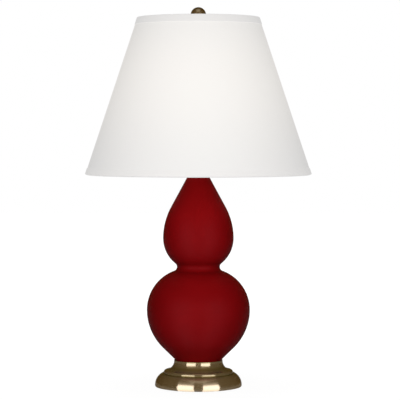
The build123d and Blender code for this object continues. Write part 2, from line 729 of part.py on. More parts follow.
# Moulded socket body that holds the switch
def make_socket_body():
    flange = SLEEVE_INNER - SOCKET_FIT
    body = lathe([
        (0, LEDGE_Z),
        (flange, LEDGE_Z),
        (flange, LEDGE_Z + BODY_FLANGE),
        (BODY_RADIUS, LEDGE_Z + BODY_FLANGE),
        (BODY_RADIUS, BODY_TOP_Z),
        (0, BODY_TOP_Z),
    ])
    shaft_end = (0, SHAFT_DEPTH - BODY_RADIUS, SHAFT_Z)
    body -= rod(SHAFT_RADIUS + SWIVEL_FIT, shaft_end, (0, -2 * BODY_RADIUS, SHAFT_Z))
    for side_sign in (-1, 1):
        hole_end = (side_sign * (BODY_RADIUS - TERMINAL_DEPTH), 0, LEDGE_Z + TERMINAL_RISE)
        mouth = (side_sign * 2 * BODY_RADIUS, 0, LEDGE_Z + TERMINAL_RISE)
        body -= rod(TERMINAL_RADIUS + THREAD_FIT, hole_end, mouth)
    return body


def make_screw_shell():
    outer = SCREW_SHELL_INNER + SCREW_SHELL_WALL
    return lathe([
        (CONTACT_WINDOW, BODY_TOP_Z),
        (outer, BODY_TOP_Z),
        (outer, BODY_TOP_Z + SCREW_SHELL_HEIGHT),
        (SCREW_SHELL_INNER, BODY_TOP_Z + SCREW_SHELL_HEIGHT),
        (SCREW_SHELL_INNER, BODY_TOP_Z + SCREW_SHELL_WALL),
        (CONTACT_WINDOW, BODY_TOP_Z + SCREW_SHELL_WALL),
    ])


# Spring tongue that meets the bulb's contact
def make_centre_contact():
    low = BODY_TOP_Z + CONTACT_THICKNESS / 2
    high = low + CONTACT_LIFT
    reach = CONTACT_WINDOW - CONTACT_WIDTH / 2
    tongue = Polyline((-reach, low), (-reach / 2, low), (0, high), (reach / 2, high))
    strip = Plane.XZ * trace(tongue, CONTACT_THICKNESS)
    contact = extrude(strip, CONTACT_WIDTH / 2, both=True)
    room = Box(4 * CONTACT_WINDOW, CONTACT_WIDTH, 2 * CONTACT_LIFT)
    return contact & Pos(0, 0, BODY_TOP_Z + CONTACT_LIFT) * room


# Terminal screws on both sides of the body
def make_terminal_screws():
    screws = []
    screw_z = LEDGE_Z + TERMINAL_RISE
    for side_sign in (-1, 1):
        tip = side_sign * (BODY_RADIUS - TERMINAL_DEPTH + THREAD_FIT)
        seat = side_sign * (BODY_RADIUS + THREAD_FIT)
        crown = seat + side_sign * TERMINAL_HEAD
        screw = rod(TERMINAL_RADIUS, (tip, 0, screw_z), (seat, 0, screw_z))
        screw += rod(TERMINAL_HEAD_RADIUS, (seat, 0, screw_z), (crown, 0, screw_z))
        slot = Box(TERMINAL_HEAD, TERMINAL_RADIUS / 2, 3 * TERMINAL_HEAD_RADIUS)
        screws.append(screw - Pos(crown, 0, screw_z) * slot)
    return screws


# Switch shaft and fluted knob, pointing to the front
KNOB_FACE_Y = -(SOCKET_RADIUS + KNOB_STANDOFF)


def make_switch_shaft():
    inner_end = SHAFT_DEPTH - BODY_RADIUS - SWIVEL_FIT
    return rod(SHAFT_RADIUS, (0, inner_end, SHAFT_Z), (0, KNOB_FACE_Y - KNOB_GRIP, SHAFT_Z))


def make_switch_knob():
    blank = fillet(Cylinder(KNOB_RADIUS, KNOB_LENGTH).edges().filter_by(GeomType.CIRCLE), KNOB_ROUND)
    for flute in PolarLocations(KNOB_RADIUS, KNOB_FLUTES):
        blank -= flute * Cylinder(KNOB_FLUTE_RADIUS, 2 * KNOB_LENGTH)
    bore_z = KNOB_GRIP - KNOB_LENGTH / 2
    blank -= rod(SHAFT_RADIUS + THREAD_FIT, (0, 0, -KNOB_LENGTH), (0, 0, bore_z + THREAD_FIT))
    place = Plane(origin=(0, KNOB_FACE_Y - KNOB_LENGTH / 2, SHAFT_Z), z_dir=(0, -1, 0))
    return place * blank


# Bulb
def bulb_side(inset):
    """Outline entries up the globe, each radius less an inset."""
    widest = (BULB_RADIUS - inset, BULB_Z + BULB_HEIGHT - BULB_RADIUS)
    neck = (BULB_NECK_RADIUS - inset, BULB_Z + BULB_NECK_RISE)
    mid, end = arc_then_line(widest, neck, BULB_SHARE)
    crown = (0, widest[1] + widest[0])
    return [
        (BULB_ROOT_RADIUS - inset, BULB_Z + BULB_ROOT_RISE),
        (BULB_ROOT_RADIUS - inset, BULB_Z + BULB_CAP_TOP),
        neck,
        end,
        (*mid, *widest),
        upright_arc(widest, crown),
    ]


def make_bulb_globe():
    base = (0, BULB_Z + BULB_ROOT_RISE)
    return lathe([base, *bulb_side(0)]) - lathe([base, *bulb_side(BULB_GLASS)])


def make_bulb_cap():
    root = BULB_CAP_RADIUS - THREAD_DEPTH
    pitch = (BULB_THREAD_TOP - BULB_THREAD_RISE) / THREAD_TURNS
    outline = [(INSULATOR_RADIUS + SOCKET_FIT, BULB_Z + BULB_CAP_RISE), (root, BULB_Z + BULB_THREAD_RISE)]
    for turn in range(THREAD_TURNS):
        low = BULB_Z + BULB_THREAD_RISE + turn * pitch
        outline.append((BULB_CAP_RADIUS, low + pitch / 2, root, low + pitch))
    outline += [
        (root, BULB_Z + BULB_CAP_TOP),
        (BULB_CAP_INNER, BULB_Z + BULB_CAP_TOP),
        (BULB_CAP_INNER, BULB_Z + BULB_THREAD_RISE),
        (INSULATOR_RADIUS + SOCKET_FIT, BULB_Z + BULB_CAP_RISE + BULB_CAP_WALL),
    ]
    return lathe(outline)


def make_bulb_insulator():
    low = BULB_Z + BULB_CONTACT_THICKNESS
    high = BULB_Z + BULB_CAP_RISE + BULB_CAP_WALL
    return lathe([
        (0, low),
        (INSULATOR_RADIUS - INSULATOR_TAPER, low),
        (INSULATOR_RADIUS, BULB_Z + BULB_CAP_RISE - BULB_CAP_WALL),
        (INSULATOR_RADIUS, high),
        (0, high),
    ])


def make_bulb_contact():
    edge = BULB_Z + BULB_CONTACT_THICKNESS
    return lathe([(0, BULB_Z), (BULB_CONTACT_RADIUS / 2, BULB_Z), (BULB_CONTACT_RADIUS, edge), (0, edge)])


# Glass mount inside the globe
def make_bulb_stem():
    flare = BULB_ROOT_RADIUS - BULB_GLASS - STEM_FIT
    low = BULB_Z + BULB_ROOT_RISE
    tube_foot = (STEM_RADIUS, low + STEM_FLARE_HEIGHT)
    stem = lathe([
        (0, low),
        (flare, low),
        (*turn_mid(tube_foot, (flare, low)), *tube_foot),
        (STEM_RADIUS, BULB_Z + STEM_TOP),
        (0, BULB_Z + STEM_TOP),
    ])
    for side_sign in (-1, 1):
        x = side_sign * LEAD_SPREAD
        hole_low = BULB_Z + STEM_TOP - LEAD_ROOT
        stem -= rod(LEAD_RADIUS + THREAD_FIT, (x, 0, hole_low), (x, 0, BULB_Z + STEM_TOP))
    return stem


# Lead wires and the filament they carry
def make_bulb_filament():
    top = BULB_Z + LEAD_TOP
    end = FILAMENT_HALF_SPAN
    filament = rod(FILAMENT_RADIUS, (-end, 0, top), (end, 0, top))
    for side_sign in (-1, 1):
        x = side_sign * LEAD_SPREAD
        foot = (x, 0, BULB_Z + STEM_TOP - LEAD_ROOT + THREAD_FIT)
        knee = (x, 0, BULB_Z + STEM_TOP + LEAD_ROOT)
        tip = (side_sign * (end - FILAMENT_RADIUS), 0, top)
        lead = rod(LEAD_RADIUS, foot, knee) + rod(LEAD_RADIUS, knee, tip)
        filament += lead + Pos(*knee) * Sphere(LEAD_RADIUS)
    return filament


# Shade, laid out along the slant of the fabric's outer face
SHADE_SLANT = math.hypot(SHADE_BOTTOM_RADIUS - SHADE_TOP_RADIUS, SHADE_HEIGHT)
SLANT_COS = SHADE_HEIGHT / SHADE_SLANT
SLANT_SIN = (SHADE_BOTTOM_RADIUS - SHADE_TOP_RADIUS) / SHADE_SLANT
LINING_FACE = -(FABRIC_THICKNESS + GLUE_GAP)
RING_DEPTH = LINING_FACE - LINING_THICKNESS - GLUE_GAP - RING_RADIUS
TRIM_INNER_FACE = RING_DEPTH - RING_RADIUS - GLUE_GAP


def on_shade(along, outward):
    """Radius and height at a distance up the slant and a distance out from the fabric's face."""
    radius = SHADE_BOTTOM_RADIUS - along * SLANT_SIN + outward * SLANT_COS
    return (radius, SHADE_BOTTOM_Z + along * SLANT_COS + outward * SLANT_SIN)


def shade_layer(outer, thickness):
    """Cone wall with its outer face at a distance from the fabric's face."""
    return lathe([
        on_shade(0, outer),
        on_shade(SHADE_SLANT, outer),
        on_shade(SHADE_SLANT, outer - thickness),
        on_shade(0, outer - thickness),
    ])


def make_shade_fabric():
    return shade_layer(0, FABRIC_THICKNESS)


def make_shade_lining():
    return shade_layer(LINING_FACE, LINING_THICKNESS)


# Wire rings at both edges of the shade
RING_PLACES = (on_shade(RING_INSET, RING_DEPTH), on_shade(SHADE_SLANT - RING_INSET, RING_DEPTH))


def make_shade_ring(place):
    return Pos(0, 0, place[1]) * Torus(place[0], RING_RADIUS)


def trim_channel(edge, upward, height):
    """Folded band that grips an edge of the shade, its legs running upward (1) or downward (-1)."""
    outer = GLUE_GAP + TRIM_THICKNESS
    inner = TRIM_INNER_FACE - TRIM_THICKNESS
    fold = edge - upward * (GLUE_GAP + TRIM_THICKNESS)
    crease = edge - upward * GLUE_GAP
    leg = edge + upward * height
    inner_leg = edge + upward * TRIM_INNER_HEIGHT
    return lathe([
        on_shade(fold, outer),
        on_shade(leg, outer),
        on_shade(leg, GLUE_GAP),
        on_shade(crease, GLUE_GAP),
        on_shade(crease, TRIM_INNER_FACE),
        on_shade(inner_leg, TRIM_INNER_FACE),
        on_shade(inner_leg, inner),
        on_shade(fold, inner),
    ])


def make_shade_bottom_trim():
    return trim_channel(0, 1, BOTTOM_TRIM_HEIGHT)


def make_shade_top_trim():
    trim = trim_channel(SHADE_SLANT, -1, TOP_TRIM_HEIGHT)
    for arm in spider_arm_solids(ARM_RADIUS + ARM_NOTCH_FIT):
        trim -= arm
    return trim


# Spider arms, from the hub's edge to the top ring
def spider_arm_solids(radius):
    level = HUB_Z + HUB_THICKNESS / 2
    start = HUB_RADIUS - ARM_BITE
    bend = start + ARM_LEVEL_RUN
    top_ring = RING_PLACES[1]
    climb = math.atan2(top_ring[1] - level, top_ring[0] - bend)
    stop = RING_RADIUS - ARM_BITE
    end = (top_ring[0] - stop * math.cos(climb), top_ring[1] - stop * math.sin(climb))
    path = Plane.XZ * FilletPolyline((start, level), (bend, level), end, radius=ARM_BEND)
    section = Plane(origin=(start, 0, level), z_dir=(1, 0, 0)) * Circle(radius)
    arm = sweep(section, path)
    return [Rot(0, 0, SPIDER_FIRST_ARM + turn * 360 / SPIDER_ARMS) * arm for turn in range(SPIDER_ARMS)]


def make_spider_hub():
    return ring(STUD_RADIUS + HUB_FIT, HUB_RADIUS, HUB_Z, FINIAL_Z)


# Finial, a ball on a waisted skirt, bored for the stud
def make_finial():
    ball_z = FINIAL_Z + FINIAL_HEIGHT - FINIAL_RADIUS
    ball_foot = ball_z - math.sqrt(FINIAL_RADIUS ** 2 - FINIAL_NECK_RADIUS ** 2)
    skirt_top = FINIAL_Z + FINIAL_SKIRT
    neck_low = (FINIAL_NECK_RADIUS, ball_foot - FINIAL_NECK_STRAIGHT)
    neck_high = (FINIAL_NECK_RADIUS, ball_foot)
    widest = (FINIAL_RADIUS, ball_z)
    finial = lathe([
        (0, FINIAL_Z),
        (FINIAL_SKIRT_RADIUS, FINIAL_Z),
        (FINIAL_SKIRT_RADIUS, skirt_top),
        (*turn_mid(neck_low, (FINIAL_SKIRT_RADIUS, skirt_top)), *neck_low),
        neck_high,
        (*turn_mid(widest, neck_high), *widest),
        upright_arc(widest, (0, FINIAL_Z + FINIAL_HEIGHT)),
    ])
    hole_top = HUB_Z + STUD_LENGTH + FINIAL_HOLE_SPARE
    return finial - rod(STUD_RADIUS + FINIAL_FIT, (0, 0, FINIAL_Z), (0, 0, hole_top))


NODES = {
    "felt_pad": make_felt_pad(),
    "foot": make_foot(),
    "cord_bushing": make_cord_bushing(),
    "foot_gasket": make_foot_gasket(),
    "gourd": make_gourd(),
    "pipe": make_pipe(),
    "foot_washer": make_foot_washer(),
    "lock_washers": make_lock_washers(),
    "pipe_nuts": make_pipe_nuts(),
    "neck_gasket": make_neck_gasket(),
    "vase_cap": make_vase_cap(),
    "neck_collar": make_neck_collar(),
    "saddle": make_saddle(),
    "socket_cap": make_socket_cap(),
    "socket_set_screw": make_socket_set_screw(),
    "socket_shell": make_socket_shell(),
    "socket_sleeve": make_socket_sleeve(),
    "socket_body": make_socket_body(),
    "screw_shell": make_screw_shell(),
    "centre_contact": make_centre_contact(),
    "terminal_screws": make_terminal_screws(),
    "switch_shaft": make_switch_shaft(),
    "switch_knob": make_switch_knob(),
    "bulb_globe": make_bulb_globe(),
    "bulb_cap": make_bulb_cap(),
    "bulb_insulator": make_bulb_insulator(),
    "bulb_contact": make_bulb_contact(),
    "bulb_stem": make_bulb_stem(),
    "bulb_filament": make_bulb_filament(),
    "harp": make_harp(),
    "harp_ferrule_left": make_ferrule(-1),
    "harp_ferrule_right": make_ferrule(1),
    "harp_stud": make_harp_stud(),
    "spider_hub": make_spider_hub(),
    "spider_arms": spider_arm_solids(ARM_RADIUS),
    "shade_bottom_ring": make_shade_ring(RING_PLACES[0]),
    "shade_top_ring": make_shade_ring(RING_PLACES[1]),
    "shade_lining": make_shade_lining(),
    "shade_fabric": make_shade_fabric(),
    "shade_bottom_trim": make_shade_bottom_trim(),
    "shade_top_trim": make_shade_top_trim(),
    "finial": make_finial(),
}

os.makedirs("parts", exist_ok=True)
for name, shape in NODES.items():
    node = Compound(children=shape) if isinstance(shape, list) else shape
    node.label = name
    export_step(node, f"parts/{name}.step")
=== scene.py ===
"""Looks of the accent table lamp: glaze, brass, cloth shade and bulb, with the studio round it.

Metres, +Z up, the lamp's axis on Z and its front facing -Y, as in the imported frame.
"""
import json
import math

import bpy
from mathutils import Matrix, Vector


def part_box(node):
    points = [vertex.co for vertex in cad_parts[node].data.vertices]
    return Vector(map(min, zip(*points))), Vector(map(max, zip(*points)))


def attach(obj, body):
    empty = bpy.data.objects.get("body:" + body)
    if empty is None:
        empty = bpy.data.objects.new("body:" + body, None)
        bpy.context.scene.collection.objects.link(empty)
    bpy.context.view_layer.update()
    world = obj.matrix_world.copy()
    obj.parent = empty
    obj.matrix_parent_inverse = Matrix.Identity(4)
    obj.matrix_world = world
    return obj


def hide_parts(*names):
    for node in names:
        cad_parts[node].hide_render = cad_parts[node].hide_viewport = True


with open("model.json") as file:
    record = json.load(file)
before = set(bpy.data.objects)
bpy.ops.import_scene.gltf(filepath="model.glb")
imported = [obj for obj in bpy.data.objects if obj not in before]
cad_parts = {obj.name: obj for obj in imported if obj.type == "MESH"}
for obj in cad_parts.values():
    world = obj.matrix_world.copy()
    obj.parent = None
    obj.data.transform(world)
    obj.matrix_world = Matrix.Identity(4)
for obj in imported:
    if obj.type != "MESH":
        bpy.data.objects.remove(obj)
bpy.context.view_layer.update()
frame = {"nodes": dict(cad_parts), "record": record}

MM = 0.001

# Camera
IMAGE_SIDE = 400
FOCAL_PIXELS = 1900
SENSOR = 36.0
EYE = Vector((2.5, -2893.7, 390.5)) * MM
AIM_HEIGHT = 285.3 * MM

# Studio
KEY_REACH = 1.1
KEY_RISE = 0.38
KEY_SIZE = (0.4, 0.8)
KEY_POWER = 10.6
FILL_BEARING = 152.0
FILL_REACH = 1.8
FILL_SIZE = (1.0, 1.2)
FILL_POWER = 7.0
LIGHT_TINT = (1.0, 0.985, 0.96)
PANEL_BEARING = 35.1
PANEL_REACH = 1.5
PANEL_RISE = 0.4205
PANEL_SIZE = (1.24, 0.84)
PANEL_FOOT_SHARE = 0.0132
PANEL_FOOT_CENTRE = (0, -0.0393, 0)
PANEL_TINT = (0.80, 0.85, 1.0)
PANEL_GLOW = 4.4
PANEL_FOOT_GLOW = 3.0
CEILING_SIZE = (1.5, 1.6)
CEILING_HEIGHT = 2.2
CEILING_GLOW = 0.5
AMBIENT = 0.05
FLOOR_SIDE = 12.0
FLOOR_DROP = 0.3 * MM
FLOOR_GLOW = 1.13
FLOOR_SHADE = 0.15
FLOOR_SHADE_REACH = 0.45
FLOOR_IN_METAL = 0.16
FLOOR_PAINT = (172, 172, 172)
WALL_REACH = 2.6
WALL_HEIGHT = 5.0
WALL_DROP = 0.01
WALL_SIDES = 72
WALL_GLOW = 0.11
WALL_TINT = (255, 212, 84)

# Modelling
TURN_STEPS = 192
WELD = 1e-6
SMOOTH_ANGLE = math.radians(32)
STARTER = 0.01
BACK = math.pi / 2
LEVEL = 0.5
NEAR = 0.4 * MM

# Shade, laid out along the slant of the cloth's outer face
CLOTH_THICKNESS = 0.6 * MM
CLOTH_ROWS = 24
CLOTH_TUCK = 0.6 * MM
SEAM_TUCK = 2.0 * MM
TAPE_THICKNESS = 0.7 * MM
TAPE_LIFT = 0.4 * MM
TOP_TAPE_LEG = 10.8 * MM
BOTTOM_TAPE_LEG = 8.8 * MM
TAPE_INNER_LEG = 6.5 * MM
TAPE_DEPTH = 4.7 * MM
TAPE_CORNER = 1.2 * MM
TAPE_CORNER_STEPS = 6
SEAM_WIDTH = 9.0 * MM
SEAM_LIFT = 0.35 * MM
SEAM_THICKNESS = 0.5 * MM
LAP_WIDTH = 18.0 * MM
LAP_LIFT = 0.85 * MM
STRIP_STEPS = 24

# Felt pad
FELT_ROUND = 0.5 * MM
FELT_ROUND_STEPS = 6

# Patina in the foot's cove and groove, and a band of painted shade at the collar's top under the ceramic
COVE_LOW = 30.0 * MM
COVE_SPREAD = 5.0 * MM
GROOVE_HEIGHT = 20.9 * MM
GROOVE_SPREAD = 2.0 * MM
COLLAR_TOP = 41.2 * MM
COLLAR_SHADE_SPREAD = 1.8 * MM

# Stud thread
THREAD_PITCH = 0.94 * MM
THREAD_DEPTH = 0.35 * MM
STUD_CHAMFER = 0.6 * MM
STUD_HEAD = 1.3 * MM
STUD_STEPS = 48

# Waist of the ceramic, where a darker band stands for glaze pooled in the crease and for painted shade there
WAIST_HEIGHT = 182.5 * MM
WAIST_SPREAD = 9.0 * MM

# Weave, in waves round the shade and radians up a metre
CLOTH_WARP = 620.0
CLOTH_WEFT = 4800.0
TAPE_WARP = 700.0
TAPE_WEFT = 5600.0
SLUB_ROUND = 12.0
SLUB_RISE = 900.0

# Light of the bulb, on it and through the shade
BULB_HOT_HEIGHT = 462.0 * MM
BULB_HOT_SPREAD = 35.0 * MM
BULB_GLOW = 0.62
CLOTH_LIT_HEIGHT = 478.0 * MM
CLOTH_LIT_SPREAD = 120.0 * MM
CLOTH_GLOW = 0.685
SEAM_GLOW = 0.61
TAPE_GLOW = 0.67
LINING_LIT_HEIGHT = 470.0 * MM
LINING_LIT_SPREAD = 100.0 * MM
LINING_GLOW = 0.25


# Sockets that do sums
def operator(operation):
    """The plain and the reflected method of one operator, each adding a Math node."""

    def plain(self, other):
        return self.finish.maths(operation, self, other)

    def reflected(self, other):
        return self.finish.maths(operation, other, self)

    return plain, reflected


class Socket:
    """A node's output that can be used in sums."""

    __add__, __radd__ = operator("ADD")
    __sub__, __rsub__ = operator("SUBTRACT")
    __mul__, __rmul__ = operator("MULTIPLY")
    __truediv__, __rtruediv__ = operator("DIVIDE")
    __pow__, __rpow__ = operator("POWER")

    def __init__(self, finish, output):
        self.finish = finish
        self.output = output

    def other(self, name):
        """Another output of the same node."""
        return Socket(self.finish, self.output.node.outputs[name])


class Finish:
    """The node tree of one material or world."""

    def __init__(self, owner):
        owner.use_nodes = True
        self.owner = owner
        self.tree = owner.node_tree
        self.tree.nodes.clear()

    def add(self, kind, settings=None, inputs=None, output=0):
        """Add a node with its settings, then the values or links of its sockets."""
        node = self.tree.nodes.new(kind)
        for name, value in (settings or {}).items():
            setattr(node, name, value)
        for name, value in (inputs or {}).items():
            if isinstance(value, Socket):
                self.tree.links.new(value.output, node.inputs[name])
            else:
                node.inputs[name].default_value = value
        return Socket(self, node.outputs[output]) if node.outputs else None

    def maths(self, operation, *values):
        return self.add("ShaderNodeMath", {"operation": operation}, dict(enumerate(values)))

    def place(self):
        """Object coordinates."""
        return self.add("ShaderNodeTexCoord", output="Object")

    def axes(self):
        """Object coordinates as three numbers."""
        x = self.add("ShaderNodeSeparateXYZ", inputs={0: self.place()})
        return x, x.other("Y"), x.other("Z")

    def noise(self, scale, detail=2.0, vector=None, roughness=0.5):
        where = vector or self.place()
        inputs = {"Vector": where, "Scale": scale, "Detail": detail, "Roughness": roughness}
        return self.add("ShaderNodeTexNoise", inputs=inputs, output="Fac")

    def join(self, x, y, z):
        return self.add("ShaderNodeCombineXYZ", inputs={0: x, 1: y, 2: z})

    def mix(self, factor, first, second):
        """Colour between two colours."""
        return self.add("ShaderNodeMix", {"data_type": "RGBA"}, {0: factor, 6: first, 7: second}, output=2)

    def hump(self, value, centre, width):
        """1 where a value is at a centre, falling smoothly away over a width."""
        return self.maths("EXPONENT", ((value - centre) / width) ** 2 * -1)

    def bump(self, height, strength, distance):
        inputs = {"Height": height, "Strength": strength, "Distance": distance}
        return self.add("ShaderNodeBump", inputs=inputs)

    def surface(self, **inputs):
        """Finish the material with a principled shader; names are its sockets with _ for a space."""
        named = {name.replace("_", " "): value for name, value in inputs.items()}
        named = {name.replace("Specular Level", "Specular IOR Level"): v for name, v in named.items()}
        shader = self.add("ShaderNodeBsdfPrincipled", inputs=named)
        self.add("ShaderNodeOutputMaterial", inputs={"Surface": shader})
        return self.owner


def new_finish(name):
    return Finish(bpy.data.materials.new(name))


def srgb(red, green, blue):
    """Linear colour of an sRGB one written from 0 to 255."""
    channels = []
    for value in (red, green, blue):
        share = value / 255
        channels.append(share / 12.92 if share <= 0.04045 else ((share + 0.055) / 1.055) ** 2.4)
    return (*channels, 1.0)


# Camera and studio
def look_along(piece, target):
    piece.rotation_euler = (target - piece.location).to_track_quat("-Z", "Y").to_euler()


def make_camera():
    data = bpy.data.cameras.new("camera")
    data.sensor_width = SENSOR
    data.lens = FOCAL_PIXELS / IMAGE_SIDE * SENSOR
    camera = bpy.data.objects.new("camera", data)
    bpy.context.scene.collection.objects.link(camera)
    camera.location = EYE
    look_along(camera, Vector((EYE.x, 0, AIM_HEIGHT)))
    bpy.context.scene.camera = camera


def around(bearing, reach, height):
    """Point at a bearing in degrees from the lamp's front, positive to the right."""
    turn = math.radians(bearing)
    return Vector((reach * math.sin(turn), -reach * math.cos(turn), height))


def make_soft_light(name, bearing, reach, rise, size, power):
    """Large soft light that shades things and leaves no reflection of its own."""
    light = bpy.data.lights.new(name, "AREA")
    light.shape = "RECTANGLE"
    light.size, light.size_y = size
    light.energy = power
    light.color = LIGHT_TINT
    lamp = bpy.data.objects.new(name, light)
    bpy.context.scene.collection.objects.link(lamp)
    lamp.location = around(bearing, reach, rise)
    look_along(lamp, Vector((0, 0, rise)))
    lamp.visible_camera = False
    lamp.visible_glossy = False


def glow_only(piece, colour, *strengths):
    """Let reflections alone see a stage piece, each of its materials an even glow."""
    for strength in strengths:
        finish = new_finish(piece.name + "_glow")
        glow = finish.add("ShaderNodeEmission", inputs={"Color": colour, "Strength": strength})
        finish.add("ShaderNodeOutputMaterial", inputs={"Surface": glow})
        piece.data.materials.append(finish.owner)
    piece.visible_camera = False
    piece.visible_diffuse = False
    piece.visible_transmission = False
    piece.visible_shadow = False


def make_card(name, size, place, target):
    """Flat card of a size that faces a target."""
    bpy.ops.object.select_all(action="DESELECT")
    bpy.ops.mesh.primitive_plane_add(size=1)
    card = bpy.context.object
    card.name = name
    card.scale = (*size, 1)
    card.location = place
    look_along(card, target)
    bpy.ops.object.transform_apply(location=True, rotation=True, scale=True)
    return card


def make_panel(name, bearing):
    """Cool white panel beside the camera's line with a foot that runs in to the lamp, for the highlights."""
    place = around(bearing, PANEL_REACH, PANEL_RISE)
    panel = make_card(name, PANEL_SIZE, place, Vector((0, 0, PANEL_RISE)))
    bpy.ops.object.mode_set(mode="EDIT")
    bpy.ops.mesh.select_all(action="DESELECT")
    bpy.ops.object.mode_set(mode="OBJECT")
    for vertex in panel.data.vertices:
        vertex.select = vertex.co.z < PANEL_RISE
    bpy.ops.object.mode_set(mode="EDIT")
    bpy.ops.mesh.extrude_edges_move()
    bpy.ops.transform.resize(
        value=(PANEL_FOOT_SHARE, PANEL_FOOT_SHARE, 1), center_override=PANEL_FOOT_CENTRE,
    )
    bpy.ops.object.mode_set(mode="OBJECT")
    for face in panel.data.polygons:
        face.material_index = 1 if abs(face.normal.z) > LEVEL else 0
    glow_only(panel, (*PANEL_TINT, 1), PANEL_GLOW, PANEL_FOOT_GLOW)


def make_ceiling():
    """Dim card overhead, in front of the lamp, for the light on the upturned shoulders."""
    place = Vector((0, -CEILING_SIZE[1] / 2, CEILING_HEIGHT))
    ceiling = make_card("ceiling_card", CEILING_SIZE, place, place - Vector((0, 0, 1)))
    glow_only(ceiling, (*LIGHT_TINT, 1), CEILING_GLOW)


def seen_directly(finish, mirrored=1.0):
    """1 for what the camera sees, a share for metal and glass, and 0 for light that falls on things."""
    camera = finish.add("ShaderNodeLightPath", output="Is Camera Ray")
    through = camera.other("Is Glossy Ray") + camera.other("Is Transmission Ray")
    return finish.maths("MINIMUM", camera + through * mirrored, 1.0)


def make_world():
    world = bpy.data.worlds.new("studio")
    bpy.context.scene.world = world
    finish = Finish(world)
    ambient = finish.add("ShaderNodeBackground", inputs={"Color": (1, 1, 1, 1), "Strength": AMBIENT})
    white = finish.add("ShaderNodeBackground", inputs={"Color": (1, 1, 1, 1), "Strength": 1.0})
    shader = finish.add("ShaderNodeMixShader", inputs={0: seen_directly(finish), 1: ambient, 2: white})
    finish.add("ShaderNodeOutputWorld", inputs={"Surface": shader})


def make_floor():
    """Pale floor that stays white to the eye and keeps a soft shadow."""
    bpy.ops.object.select_all(action="DESELECT")
    bpy.ops.mesh.primitive_plane_add(size=FLOOR_SIDE, location=(0, 0, -FLOOR_DROP))
    floor = bpy.context.object
    floor.name = "floor"
    finish = new_finish("floor_paint")
    paint = finish.add("ShaderNodeBsdfDiffuse", inputs={"Color": srgb(*FLOOR_PAINT)})
    glow = finish.add("ShaderNodeEmission", inputs={"Color": (1, 1, 1, 1), "Strength": FLOOR_GLOW})
    x, y, _z = finish.axes()
    reach = (x * x + y * y) ** 0.5
    shaded = finish.hump(reach, 0.0, FLOOR_SHADE_REACH) * FLOOR_SHADE
    factor = seen_directly(finish, FLOOR_IN_METAL) * (1 - shaded)
    shader = finish.add("ShaderNodeMixShader", inputs={0: factor, 1: paint, 2: glow})
    finish.add("ShaderNodeOutputMaterial", inputs={"Surface": shader})
    floor.data.materials.append(finish.owner)


def make_walls():
    """Dim warm walls, open below, that show only in reflections."""
    bpy.ops.object.select_all(action="DESELECT")
    bpy.ops.mesh.primitive_cylinder_add(
        vertices=WALL_SIDES, radius=WALL_REACH, depth=WALL_HEIGHT,
        location=(0, 0, WALL_HEIGHT / 2 - WALL_DROP),
    )
    walls = bpy.context.object
    walls.name = "studio_walls"
    bpy.ops.object.mode_set(mode="EDIT")
    bpy.ops.mesh.select_all(action="DESELECT")
    bpy.ops.object.mode_set(mode="OBJECT")
    for face in walls.data.polygons:
        face.select = face.normal.z < -LEVEL
    bpy.ops.object.mode_set(mode="EDIT")
    bpy.ops.mesh.delete(type="FACE")
    bpy.ops.object.mode_set(mode="OBJECT")
    glow_only(walls, srgb(*WALL_TINT), WALL_GLOW)


# Modelling by hand
def turned(name, outline, start=0.0, turn=2 * math.pi, steps=TURN_STEPS):
    """Piece drawn as (radius, height) points at a bearing, then spun about the lamp's axis."""
    bpy.ops.object.select_all(action="DESELECT")
    bpy.ops.mesh.primitive_plane_add(size=STARTER)
    piece = bpy.context.object
    piece.name = name
    points = [Vector((r * math.cos(start), r * math.sin(start), z)) for r, z in outline]
    bpy.ops.object.mode_set(mode="EDIT")
    bpy.ops.mesh.select_all(action="SELECT")
    bpy.ops.mesh.merge(type="CENTER")
    bpy.ops.transform.translate(value=points[0])
    for before, after in zip(points, points[1:]):
        bpy.ops.mesh.extrude_vertices_move(TRANSFORM_OT_translate={"value": after - before})
    bpy.ops.mesh.select_all(action="SELECT")
    bpy.ops.mesh.spin(steps=steps, angle=-turn, center=(0, 0, 0), axis=(0, 0, 1))
    bpy.ops.mesh.select_all(action="SELECT")
    bpy.ops.mesh.remove_doubles(threshold=WELD)
    bpy.ops.mesh.normals_make_consistent(inside=False)
    bpy.ops.object.mode_set(mode="OBJECT")
    return piece


def cut_beyond(piece, x, side):
    """Cut away what lies beyond x on one side (-1 or 1)."""
    bpy.ops.object.mode_set(mode="EDIT")
    bpy.ops.mesh.select_all(action="SELECT")
    bpy.ops.mesh.bisect(plane_co=(x, 0, 0), plane_no=(side, 0, 0), clear_outer=True)
    bpy.ops.object.mode_set(mode="OBJECT")


def thicken(piece, thickness, offset):
    wall = piece.modifiers.new("wall", "SOLIDIFY")
    wall.thickness = thickness
    wall.offset = offset
    bpy.ops.object.modifier_apply(modifier=wall.name)


def finish_piece(piece, body, slot, material, *nodes):
    """Smooth a new piece, dress it, and let it ride on its body in place of its CAD nodes."""
    bpy.ops.object.shade_smooth_by_angle(angle=SMOOTH_ANGLE)
    piece.data.materials.clear()
    piece.data.materials.append(material)
    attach(piece, body)
    if nodes:
        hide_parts(*nodes)
    return piece


def radius_at(node, height):
    """Largest radius of a CAD node near a height."""
    near = [v.co for v in frame["nodes"][node].data.vertices if abs(v.co.z - height) < NEAR]
    return max(co.xy.length for co in near)


